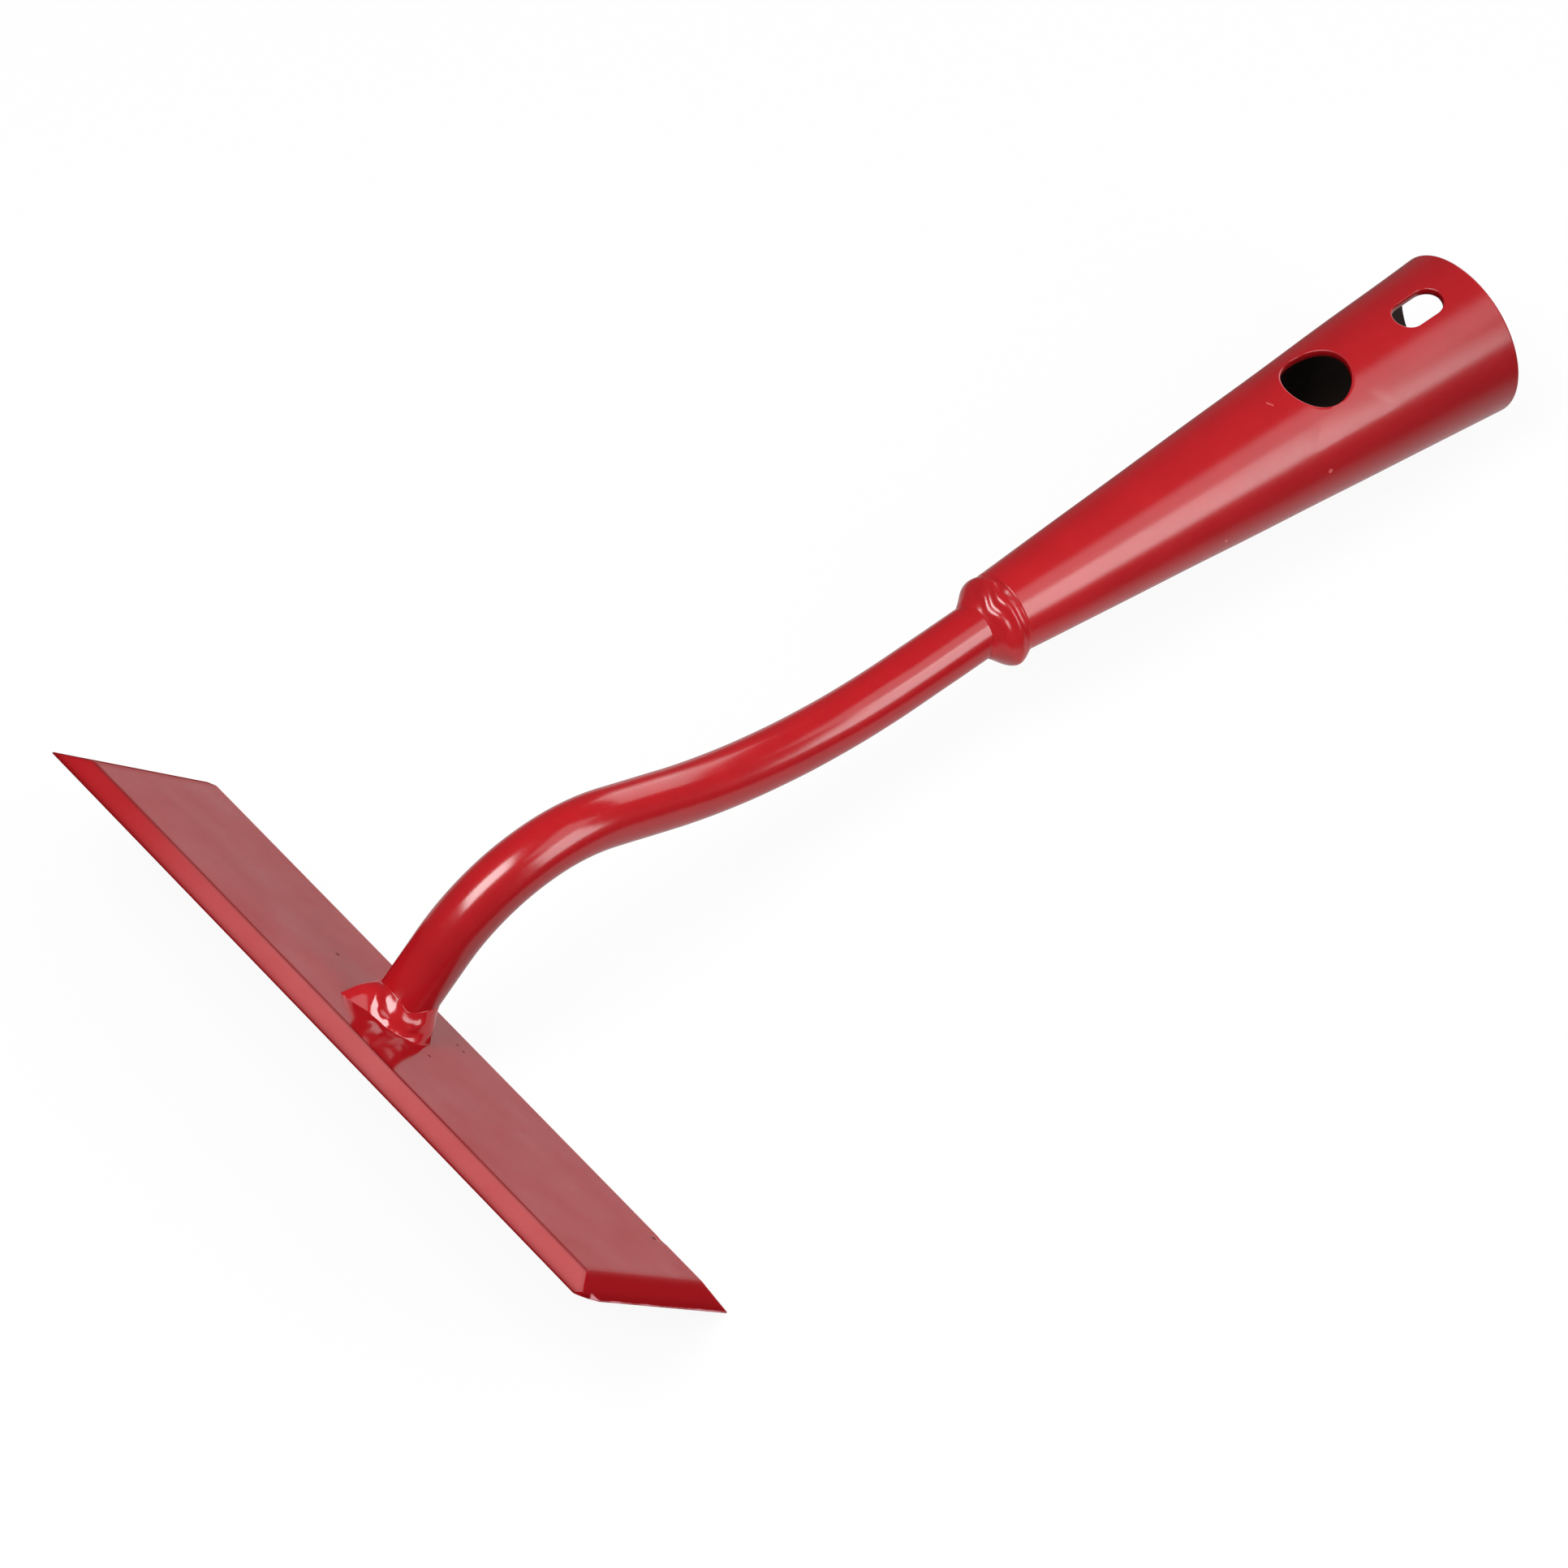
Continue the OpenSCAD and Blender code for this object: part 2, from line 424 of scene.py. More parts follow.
@dataclass(frozen=True)
class Paint:
    """Gloss paint on steel, with blotches, dust specks, orange peel and chips where the masks say so.

    The vertices carry three masks: coat, the share of the clear gloss, wear, how far the paint is rubbed, and
    a third, the share of painted shade: a darker colour laid where the surface is meant to look shaded.
    """

    name: str
    colour: Colour
    shade: Colour
    gloss: float
    roughness: float
    blotch_size: float
    peel_size: float
    peel_depth: float
    speck_share: float = 0.0
    speck_colour: Colour = (0.13, 0.002, 0.004)
    bare_colour: Colour = (0.58, 0.24, 0.26)
    # Colour of the painted shade.
    painted_shade_colour: Colour = (0.20, 0.003, 0.005)

    MASKS = ("coat", "wear", "tone")
    SPECK_SPACING = 7.0
    SPECK_RADIUS = 0.35
    SPECK_DULLING = 0.7
    BLOTCH_DETAIL = 4.0
    BLOTCH_CONTRAST = 2.0
    ROUGHNESS_SPREAD = 0.1
    COAT_ROUGHNESS = 0.12
    COAT_IOR = 1.7
    COAT_SPREAD = 0.2
    COAT_BLOTCH = 0.6
    CHIP_START = 0.5
    CHIP_EDGE = 6.0
    CHIP_SPREAD = 0.9
    CHIP_ROUGHNESS = 0.2

    def material(self, spots: Sequence[Spot] = ()) -> bpy.types.Material:
        """Make the material.

        Args:
            spots: Single specks at chosen places.

        Returns:
            The material.
        """
        material, graph = ShaderGraph.of_material(self.name)
        place = graph.place()
        blotch = graph.noise(place, self.blotch_size, self.BLOTCH_DETAIL) - NOISE_MIDDLE
        peel = graph.noise(place, self.peel_size)
        speck = graph.specks(place, self.SPECK_SPACING, self.SPECK_RADIUS, self.speck_share)
        for spot in spots:
            speck = graph.math("MAXIMUM", speck, graph.spot(place, spot))
        rubbed = graph.mask("wear") + blotch * self.CHIP_SPREAD
        chip = ((rubbed - self.CHIP_START) * self.CHIP_EDGE).clamped()
        shaded = (blotch * self.BLOTCH_CONTRAST + NOISE_MIDDLE).clamped()
        paint = graph.blend(shaded, self.colour, self.shade)
        # Painted shade: the third mask darkens the paint towards a dark red where it is meant to look shaded.
        toned = graph.blend(graph.mask("tone"), paint, self.painted_shade_colour)
        colour = graph.blend(chip, graph.blend(speck, toned, self.speck_colour), self.bare_colour)
        clear = graph.mask("coat") * (1.0 - peel * self.COAT_SPREAD - blotch * self.COAT_BLOTCH)
        uneven = self.roughness + (peel - NOISE_MIDDLE) * self.ROUGHNESS_SPREAD
        shader = graph.node(
            "ShaderNodeBsdfPrincipled",
            {},
            {
                "Base Color": colour,
                "Roughness": uneven + chip * self.CHIP_ROUGHNESS,
                "Normal": graph.bump(peel, self.peel_depth),
                "Specular IOR Level": self.gloss,
                "Coat Weight": clear * (1.0 - chip) * (1.0 - speck * self.SPECK_DULLING),
                "Coat Roughness": self.COAT_ROUGHNESS,
                "Coat IOR": self.COAT_IOR,
            },
        )
        graph.finish(shader)
        return material


@dataclass(frozen=True)
class ScaledSteel:
    """Unpainted inside of the rolled sheet, dark with mill scale."""

    name: str = "scaled_steel"
    dark: Colour = (0.012, 0.010, 0.010)
    rusty: Colour = (0.045, 0.022, 0.015)
    patch_size: float = 9.0
    patch_detail: float = 4.0
    grain_size: float = 0.6
    grain_depth: float = 0.03
    gloss: float = 0.2
    roughness: float = 0.7
    roughness_spread: float = 0.2

    def material(self) -> bpy.types.Material:
        """Make the material.

        Returns:
            The material.
        """
        material, graph = ShaderGraph.of_material(self.name)
        place = graph.place()
        patch = graph.noise(place, self.patch_size, self.patch_detail)
        grain = graph.noise(place, self.grain_size)
        shader = graph.node(
            "ShaderNodeBsdfPrincipled",
            {},
            {
                "Base Color": graph.blend(patch, self.dark, self.rusty),
                "Roughness": self.roughness + (grain - NOISE_MIDDLE) * self.roughness_spread,
                "Normal": graph.bump(grain, self.grain_depth),
                "Specular IOR Level": self.gloss,
            },
        )
        graph.finish(shader)
        return material


def dress(piece: bpy.types.Object, node: str) -> bpy.types.Object:
    """Put a piece in the place of a CAD node.

    Args:
        piece: The new piece.
        node: Name of the node that it stands for.

    Returns:
        The piece.
    """
    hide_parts(node)
    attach(piece, BODY)
    return piece


def soft_min(values: Array, width: float) -> Array:
    """Take the least of the values on the first axis, rounded off where two of them meet.

    Args:
        values: Values to compare, stacked on the first axis.
        width: Width of the rounding, in the unit of the values.

    Returns:
        -width * log(sum(exp(-value / width))).
    """
    least = values.min(axis=0)
    return least - width * np.log(np.exp((least - values) / width).sum(axis=0))


def rim_of(index: Array) -> Array:
    """Give the outermost entries of a grid, in order round it."""
    return np.concatenate((index[0, :-1], index[:-1, -1], index[-1, :0:-1], index[:0:-1, 0]))


@dataclass(frozen=True)
class Waves:
    """Smooth waves over a plane: a sum of sines in scattered directions.

    The height is about that of one crest, the length is the mean length of a wave, and the seed starts the
    random draws.
    """

    height: float
    length: float
    seed: int

    COUNT = 12
    SHORTEST = 0.7
    LONGEST = 1.5

    def at(self, u: Numbers, v: Numbers) -> Numbers:
        """Give the waves, with a mean of about zero.

        Args:
            u: First coordinate.
            v: Second coordinate.

        Returns:
            Heights.
        """
        draw = np.random.default_rng(self.seed)
        heading = draw.uniform(0.0, 2 * np.pi, self.COUNT)
        length = self.length * draw.uniform(self.SHORTEST, self.LONGEST, self.COUNT)
        phase = draw.uniform(0.0, 2 * np.pi, self.COUNT)
        along = np.multiply.outer(u, np.cos(heading)) + np.multiply.outer(v, np.sin(heading))
        sines = np.sin(2 * np.pi * along / length + phase)
        return self.height * sines.sum(axis=-1) * math.sqrt(2 / self.COUNT)


@dataclass(frozen=True)
class Lobe:
    """A smooth bulge round a circle: its direction and half width in degrees, and its height."""

    direction: float
    height: float
    half_width: float

    def at(self, angle: Array) -> Array:
        """Give the bulge at angles in radians: it falls to 1/e of its height at the half width."""
        away = np.cos(angle - math.radians(self.direction)) - 1
        return self.height * np.exp(away / (1 - math.cos(math.radians(self.half_width))))


def lobed(angle: Array, level: float, lobes: Sequence[Lobe]) -> Array:
    """Add lobes to a level round a circle.

    Args:
        angle: Angles in radians.
        level: Value away from all lobes.
        lobes: The lobes.

    Returns:
        The level with the lobes added.
    """
    return level + sum(lobe.at(angle) for lobe in lobes)


def ring_grid(around: int, rows: int) -> tuple[Array, Array]:
    """Lay a grid round an axis.

    Args:
        around: Number of columns, at even angles.
        rows: Number of rows.

    Returns:
        Angles in radians and shares from 0 in the first row to 1 in the last.
    """
    angle = np.linspace(0, 2 * np.pi, around, endpoint=False)
    return np.meshgrid(angle, np.linspace(0, 1, rows))


@dataclass
class Blade:
    """Flat plate with a bevel along all four edges and one worn corner.

    A speck is given by its places along and across the top and its radius.
    """

    placement: Placement
    length: float = 165.0
    width: float = 52.0
    thickness: float = 3.0
    bevel: float = 5.5
    land: float = 0.3
    worn_along_front: float = 2.0
    worn_along_end: float = 6.5
    worn_roundness: float = 0.35
    border_rounding: float = 0.05
    mitre_rounding: float = 0.06
    face_blend: float = 0.15
    waves: Waves = Waves(height=0.01, length=24.0, seed=3)
    nick_place: tuple[float, float] = (64.6, 20.0)
    nick_size: float = 0.8
    nick_depth: float = 0.35
    top_lines: tuple[int, int] = (150, 50)
    slope_lines: int = 12
    slope_share: float = 0.94
    border_lines: int = 11
    border_span: float = 0.05
    crease: float = 40.0
    top_coat: float = 1.0
    front_coat: float = 0.62
    end_coat: float = 0.06
    back_coat: float = 0.6
    # Painted shade: shares of a darker colour on each face, on the blunt edge and on the border line.
    top_tone: float = 0.55
    front_tone: float = 0.38
    back_tone: float = 0.0
    end_tone: float = 0.8
    edge_tone: float = 0.8
    border_tone: float = 0.75
    border_line: float = 0.16
    line_dulling: float = 0.8
    end_wear: float = 0.62
    end_wear_width: float = 0.5
    corner_wear: float = 0.75
    corner_wear_inset: tuple[float, float] = (0.9, 4.5)
    corner_wear_size: tuple[float, float] = (0.9, 1.8)
    specks: tuple[tuple[float, float, float], ...] = (
        (-19.9, 2.2, 0.45),
        (11.8, -0.7, 0.4),
        (6.5, 15.0, 0.35),
        (8.6, 14.8, 0.35),
        (64.6, 18.0, 0.5),
    )
    finish: Paint = Paint(
        name="blade_gloss_paint",
        colour=(0.47, 0.0075, 0.0125),
        shade=(0.43, 0.0065, 0.011),
        gloss=0.0,
        roughness=0.4,
        blotch_size=14.0,
        peel_size=0.8,
        peel_depth=0.02,
        speck_share=0.05,
    )

    def stations(self, half: float, count: int) -> Array:
        """Give grid lines across the blade, close together on the bevels and closest at their borders.

        On a bevel they lie at shares of its width: in even steps up the slope, and in small even steps over a
        span to both sides of the border.

        Args:
            half: Half of the length or width.
            count: Number of lines on the flat top.

        Returns:
            Positions from -half to half.
        """
        slope = np.linspace(0, self.slope_share, self.slope_lines)
        border = np.linspace(1 - self.border_span, 1 + self.border_span, self.border_lines)
        side = self.bevel * np.concatenate((slope, border)) - half
        flat = np.linspace(side[-1], -side[-1], count)[1:-1]
        return np.concatenate((side, flat, -side[::-1]))

    def drawn_in(self, a: Array, b: Array) -> Array:
        """Draw the first coordinate of a unit corner in by the second one.

        The square (a, b) goes to the triangle (a (1 - b/2), b (1 - a/2)), or to the quarter disc
        (a sqrt(1 - b²/2), b sqrt(1 - a²/2)), and the roundness is the share of the disc.

        Args:
            a: First coordinate.
            b: Second coordinate.

        Returns:
            The new first coordinate.
        """
        straight = 1 - b / 2
        disc = np.sqrt(1 - b**2 / 2)
        return a * (straight + (disc - straight) * self.worn_roundness)

    def outline(self, x: Array, y: Array) -> tuple[Array, Array]:
        """Pull the right front corner of the grid in to a slanted cut with a little roundness.

        Args:
            x: Places along the blade.
            y: Places from the front to the back.

        Returns:
            The places on the worn outline.
        """
        start_x = self.length / 2 - self.worn_along_front
        start_y = -self.width / 2 + self.worn_along_end
        a = np.clip((x - start_x) / self.worn_along_front, 0, None)
        b = np.clip((start_y - y) / self.worn_along_end, 0, None)
        worn_x = np.where(a > 0, start_x + self.worn_along_front * self.drawn_in(a, b), x)
        worn_y = np.where(b > 0, start_y - self.worn_along_end * self.drawn_in(b, a), y)
        return worn_x, worn_y

    def bevel_planes(self, x: Array, y: Array) -> Array:
        """Give the heights of the bevels, each a plane that rises evenly from its edge.

        Args:
            x: Places along the blade.
            y: Places from the front to the back.

        Returns:
            Heights of the front, back, left and right bevels, stacked on the first axis.
        """
        rise = (self.thickness - self.land) / self.bevel
        inward = np.stack((y + self.width / 2, self.width / 2 - y, x + self.length / 2, self.length / 2 - x))
        return self.land + rise * inward

    def top_height(self, x: Array, y: Array) -> Array:
        """Give the upper side: the lowest of the plate's top and the four bevels, with rounded borders.

        The nick is a dent of depth * exp(-(distance / size)**2).

        Args:
            x: Places along the blade.
            y: Places from the front to the back.

        Returns:
            Heights above the underside.
        """
        slopes = soft_min(self.bevel_planes(x, y), self.mitre_rounding)
        flat = self.thickness + self.waves.at(x, y)
        height = soft_min(np.stack((slopes, flat)), self.border_rounding)
        nick_x, nick_y = self.nick_place
        dent = self.nick_depth * np.exp(-((x - nick_x) ** 2 + (y - nick_y) ** 2) / self.nick_size**2)
        return np.maximum(height - dent, self.land / 2)

    def by_face(self, x: Array, y: Array, levels: Sequence[float]) -> Array:
        """Share a value out over the faces: each point takes the value of the lowest face there.

        Args:
            x: Places along the blade.
            y: Places from the front to the back.
            levels: Values of the front, back, left and right bevels and of the top.

        Returns:
            The values, weighted by exp(-height / blend), so that they change softly at each border.
        """
        flat = np.full((1, *x.shape), self.thickness)
        share = np.exp(-np.concatenate((self.bevel_planes(x, y), flat)) / self.face_blend)
        return np.tensordot(np.array(levels), share / share.sum(axis=0), axes=1)

    def lines(self, x: Array, y: Array) -> tuple[Array, Array]:
        """Draw the blunt edge and the top's front border, which carry painted shade: 1 on the line, falling
        to 0 beside it.

        The first falls with exp(-h) and the second with exp(-h**2), where h is the height by which the bevel
        is off the line, in widths of the line.

        Args:
            x: Places along the blade.
            y: Places from the front to the back.

        Returns:
            The line at the edge and the line at the border.
        """
        planes = self.bevel_planes(x, y)
        edge = np.exp(-((planes.min(axis=0) - self.land) / self.land))
        border = np.exp(-(((planes[0] - self.thickness) / self.border_line) ** 2))
        return edge, np.where(planes[0] < planes[1:].min(axis=0), border, 0.0)

    def masks(self, x: Array, y: Array) -> dict[str, Array]:
        """Give the paint's masks of the upper side.

        The gloss and a painted shade go face by face, darker on the top and the ends, and the two lines are
        dull and carry painted shade. The paint is rubbed in a narrow strip along the right end's edge and in
        a patch at the worn corner.

        Args:
            x: Places along the blade.
            y: Places from the front to the back.

        Returns:
            The masks by name.
        """
        edge, border = self.lines(x, y)
        glosses = (self.front_coat, self.back_coat, self.end_coat, self.end_coat, self.top_coat)
        tones = (self.front_tone, self.back_tone, self.end_tone, self.end_tone, self.top_tone)
        coat = self.by_face(x, y, glosses) * (1 - self.line_dulling * np.maximum(edge, border))
        tone = self.by_face(x, y, tones) + self.edge_tone * edge + self.border_tone * border
        strip = np.exp(-(((self.length / 2 - x) / self.end_wear_width) ** 2))
        patch_x = (self.length / 2 - x - self.corner_wear_inset[0]) / self.corner_wear_size[0]
        patch_y = (self.width / 2 + y - self.corner_wear_inset[1]) / self.corner_wear_size[1]
        wear = self.end_wear * strip + self.corner_wear * np.exp(-(patch_x**2 + patch_y**2))
        return {"coat": coat, "wear": wear, "tone": np.clip(tone, 0, 1)}

    def build(self) -> bpy.types.Object:
        """Make the blade: the upper side and the flat underside on one grid, joined along the edge.

        Returns:
            The piece.
        """
        along, across = self.top_lines
        grid = np.meshgrid(self.stations(self.length / 2, along), self.stations(self.width / 2, across))
        x, y = self.outline(*grid)
        masks = self.masks(x, y)
        draft = MeshDraft(*Paint.MASKS)
        top = draft.add_points(self.placement.to_part(x, y, self.top_height(x, y)), **masks)
        under_masks = masks | {"coat": self.back_coat}
        under = draft.add_points(self.placement.to_part(x, y, 0.0), **under_masks)
        draft.add_faces(top)
        draft.add_faces(under)
        draft.add_faces(np.stack((rim_of(top), rim_of(under))), closed=True)
        spots = [
            Spot.at(self.placement.to_part(at_x, at_y, self.thickness), radius)
            for at_x, at_y, radius in self.specks
        ]
        piece = draft.build("painted_blade", self.crease, self.finish.material(spots))
        return dress(piece, "blade")


@dataclass
class Neck:
    """Round bar bent twice in the middle plane, from the blade's top face into the socket."""

    placement: Placement
    foot_height: float = 3.0
    diameter: float = 12.0
    foot_angle: float = 92.5
    foot_length: float = 17.0
    first_radius: float = 37.0
    first_turn: float = -68.5
    middle_length: float = 15.0
    second_radius: float = 143.0
    second_turn: float = 26.0
    tail_length: float = 33.0
    step: float = 0.8
    around: int = 96
    waves: Waves = Waves(height=0.012, length=16.0, seed=7)
    waves_sunk: float = 0.018
    crease: float = 50.0
    # Painted shade on the right side of the bar, deepest near the foot.
    side_tone: float = 0.28
    foot_tone: float = 0.24
    finish: Paint = Paint(
        name="bar_gloss_paint",
        colour=(0.46, 0.007, 0.012),
        shade=(0.405, 0.0055, 0.0095),
        gloss=0.8,
        roughness=0.19,
        blotch_size=9.0,
        peel_size=1.1,
        peel_depth=0.003,
    )

    def path(self) -> tuple[Array, Array]:
        """Follow the bar: its heading turns evenly along a bend and holds along a straight.

        The place is the sum of the steps (cos heading, sin heading) taken at the middle of each step.

        Returns:
            Places as (towards the back edge, up) and headings in radians.
        """
        lengths = np.array((
            self.foot_length,
            self.first_radius * math.radians(abs(self.first_turn)),
            self.middle_length,
            self.second_radius * math.radians(abs(self.second_turn)),
            self.tail_length,
        ))
        turns = np.array((0.0, self.first_turn, 0.0, self.second_turn, 0.0))
        joints = np.concatenate(([0.0], np.cumsum(lengths)))
        headings = self.foot_angle + np.concatenate(([0.0], np.cumsum(turns)))
        count = round(joints[-1] / self.step)
        travelled = np.linspace(0.0, joints[-1], count + 1)
        middle = (travelled[1:] + travelled[:-1]) / 2
        step_heading = np.radians(np.interp(middle, joints, headings))
        steps = np.stack((np.cos(step_heading), np.sin(step_heading)), axis=1) * (travelled[1] - travelled[0])
        places = np.concatenate((np.zeros((1, 2)), np.cumsum(steps, axis=0))) + (0.0, self.foot_height)
        return places, np.radians(np.interp(travelled, joints, headings))

    def tone(self, angle: Array, travelled: Array) -> Array:
        """Give the share of painted shade: a darker colour on the right side, most of all near the foot."""
        foot = np.exp(-(((travelled - self.foot_length) / self.foot_length) ** 2))
        return (self.side_tone + self.foot_tone * foot) * np.clip(np.sin(angle), 0, None)

    def build(self) -> bpy.types.Object:
        """Make the bar: a circle carried along the path, square to it, with a flat end at each end.

        Returns:
            The piece.
        """
        places, heading = self.path()
        angle = np.linspace(0, 2 * np.pi, self.around, endpoint=False)
        travelled = np.arange(len(places))[:, None] * self.step
        radius = self.diameter / 2
        swell = self.waves.at(travelled + radius * np.cos(angle), radius * np.sin(angle))
        surface = radius + swell - self.waves_sunk
        out = surface * np.cos(angle)
        y = places[:, :1] - out * np.sin(heading)[:, None]
        z = places[:, 1:] + out * np.cos(heading)[:, None]
        skin = self.placement.to_part(surface * np.sin(angle), y, z)
        ends = self.placement.to_part(0.0, places[[0, -1], 0], places[[0, -1], 1])
        draft = MeshDraft(*Paint.MASKS)
        rings = draft.add_points(skin, tone=self.tone(angle, travelled))
        draft.add_faces(rings, closed=True)
        for ring, end in zip(rings[[0, -1]], ends):
            centre = draft.add_points(np.broadcast_to(end, (self.around, 3)))
            draft.add_faces(np.stack((ring, centre)), closed=True)
        piece = draft.build("painted_neck", self.crease, self.finish.material())
        return dress(piece, "neck")


@dataclass(frozen=True)
class Opening:
    """A hole through the upper wall: a circle, or a slot along the socket with round ends."""

    from_mouth: float
    width: float
    length: float
    margin: float

    def outline(self, heading: Array, grown: float) -> tuple[Array, Array]:
        """Give the outline in directions from the middle.

        A ray at the heading meets the straight side at half the width, or else the round end, whose middle
        lies s along the socket: there the distance is s |sin| + sqrt(r² - s² cos²).

        Args:
            heading: Angles in radians, from across the socket towards the mouth.
            grown: Distance by which the outline is set out.

        Returns:
            Distances across and along the socket.
        """
        radius = self.width / 2 + grown
        straight = (self.length - self.width) / 2
        across = np.abs(np.cos(heading))
        along = np.abs(np.sin(heading))
        to_side = radius / np.maximum(across, TINY)
        to_end = straight * along + np.sqrt(radius**2 - (straight * across) ** 2)
        reach = np.where(to_side * along <= straight, to_side, to_end)
        return reach * np.cos(heading), reach * np.sin(heading)


class WallGrid(NamedTuple):
    """Points on a wall of the socket: vertex numbers, angles from the top and places along the axis."""

    index: Array
    angle: Array
    z: Array

    def rim(self, rows: slice, columns: slice) -> "WallGrid":
        """Give the rim of a block of the grid, in order round it."""
        return WallGrid(*(rim_of(part[rows, columns]) for part in self))


@dataclass
class HandleSocket:
    """Tapered tube rolled from sheet, with a round hole and a slot on its upper side and a seam below.

    The rows near each end are given in edge roundings, and the rings round an opening as shares of the way
    from the grid to the outline. A speck is given by its angle from the top in degrees, its place along the
    axis and its radius.
    """

    placement: Placement
    length: float = 127.0
    small_radius: float = 9.0
    mouth_radius: float = 18.5
    wall: float = 1.8
    seam_gap: float = 0.5
    edge_rounding: float = 0.15
    columns: int = 180
    rows: int = 120
    end_rows: tuple[float, ...] = (0.0, 1.0, 2.5)
    ring_shares: tuple[float, ...] = (0.3, 0.58, 0.8, 0.93, 1.0)
    waves: Waves = Waves(height=0.03, length=26.0, seed=11)
    crease: float = 60.0
    # Painted shade: darker towards the mouth, on the right side and on the cut faces of the openings.
    mouth_tone: float = 0.18
    side_tone: float = 0.55
    cut_tone: float = 0.6
    openings: tuple[Opening, ...] = (
        Opening(from_mouth=42.5, width=14.7, length=14.7, margin=3.4),
        Opening(from_mouth=14.2, width=7.2, length=12.0, margin=2.6),
    )
    specks: tuple[tuple[float, float, float], ...] = (
        (76.0, 77.0, 0.5),
        (94.0, 50.0, 0.4),
        (-4.0, 71.8, 0.25),
        (-1.8, 72.0, 0.3),
        (0.4, 72.2, 0.25),
    )
    finish: Paint = Paint(
        name="socket_satin_paint",
        colour=(0.46, 0.007, 0.012),
        shade=(0.405, 0.0055, 0.0095),
        gloss=0.8,
        roughness=0.23,
        blotch_size=11.0,
        peel_size=1.3,
        peel_depth=0.003,
        speck_colour=(0.55, 0.09, 0.09),
    )
    inside: ScaledSteel = ScaledSteel()

    OUTER_PAINT = 0
    INNER_STEEL = 1

    def radius(self, z: Numbers, inner: bool) -> Numbers:
        """Give the radius of the outer or inner wall, which grows evenly from the small end to the mouth."""
        taper = (self.mouth_radius - self.small_radius) / self.length
        return self.small_radius + taper * z - self.wall * inner

    def tone(self, angle: Array, z: Array) -> Array:
        """Give the share of painted shade, which grows towards the mouth, most of all on the right.

        Args:
            angle: Angles from the top towards the right, in radians.
            z: Places along the axis, from the small end.

        Returns:
            Shares between 0 and 1.
        """
        along = np.clip(z / self.length, 0, 1)
        right = np.clip(np.sin(angle), 0, None) ** 2
        return self.mouth_tone * along**2 + self.side_tone * right * np.sqrt(along)

    def on_wall(self, angle: Numbers, radius: Numbers, z: Numbers) -> Array:
        """Place points of the tube, at an angle from the top towards the right."""
        swollen = radius + self.waves.at(radius * angle, z)
        return self.placement.to_part(swollen * np.sin(angle), z, swollen * np.cos(angle))

    def side(self, draft: MeshDraft, inner: bool) -> WallGrid:
        """Add the points of the outer or inner wall, with a chamfered row at each end.

        Each row is an arc that goes round, in even steps, from one edge of the seam to the other.

        Args:
            draft: Draft that takes the points.
            inner: Whether the inner wall is meant.

        Returns:
            The wall's grid, in rows along the socket.
        """
        near = np.array(self.end_rows) * self.edge_rounding
        middle = np.linspace(near[-1], self.length - near[-1], self.rows)[1:-1]
        stations = np.concatenate((near, middle, self.length - near[::-1]))
        share, z = np.meshgrid(np.linspace(-1, 1, self.columns + 1), stations)
        radius = self.radius(z, inner)
        radius[[0, -1]] += self.edge_rounding * (1 if inner else -1)
        angle = share * (np.pi - np.arcsin(self.seam_gap / 2 / radius))
        index = draft.add_points(self.on_wall(angle, radius, z), tone=self.tone(angle, z))
        return WallGrid(index, angle, z)

    def block(self, opening: Opening, grid: WallGrid) -> tuple[slice, slice]:
        """Find the block of grid lines that encloses an opening.

        Args:
            opening: The opening.
            grid: Grid of a wall.

        Returns:
            The rows and columns of the block.
        """
        middle = self.length - opening.from_mouth
        reach = opening.length / 2 + opening.margin
        first, last = np.searchsorted(grid.z[:, 0], (middle - reach, middle + reach))
        row = (first + last) // 2
        half_angle = np.arcsin((opening.width / 2 + opening.margin) / self.radius(middle, True))
        left, right = np.searchsorted(grid.angle[row], (-half_angle, half_angle))
        return slice(first, last + 1), slice(left, right + 1)

    def edge_of(self, opening: Opening, rim: WallGrid, inner: bool, grown: float) -> tuple[Array, Array]:
        """Give an opening's outline, point by point in the direction of a block's rim.

        Args:
            opening: The opening.
            rim: Rim of the block.
            inner: Whether the rim lies on the inner wall.
            grown: Distance by which the outline is set out.

        Returns:
            Distances across the socket and places along its axis.
        """
        middle = self.length - opening.from_mouth
        heading = np.arctan2(rim.z - middle, rim.angle * self.radius(middle, inner))
        across, along = opening.outline(heading, grown)
        return across, middle + along

    def surround(self, draft: MeshDraft, opening: Opening, rim: WallGrid, inner: bool) -> Array:
        """Fill a block between the grid and an opening by rings that change from the rim to the outline.

        Args:
            draft: Draft that takes the points and faces.
            opening: The opening.
            rim: Rim of the block.
            inner: Whether the inner wall is meant.

        Returns:
            Vertex numbers of the last ring, just outside the outline.
        """
        across, edge_z = self.edge_of(opening, rim, inner, self.edge_rounding)
        edge_angle = np.arcsin(across / self.radius(edge_z, inner))
        share = np.array(self.ring_shares)[:, None]
        angle = rim.angle * (1 - share) + edge_angle * share
        z = rim.z * (1 - share) + edge_z * share
        points = self.on_wall(angle, self.radius(z, inner), z)
        rings = draft.add_points(points, tone=self.tone(angle, z))
        slot = self.INNER_STEEL if inner else self.OUTER_PAINT
        draft.add_faces(np.concatenate((rim.index[None], rings)), closed=True, slot=slot)
        return rings[-1]

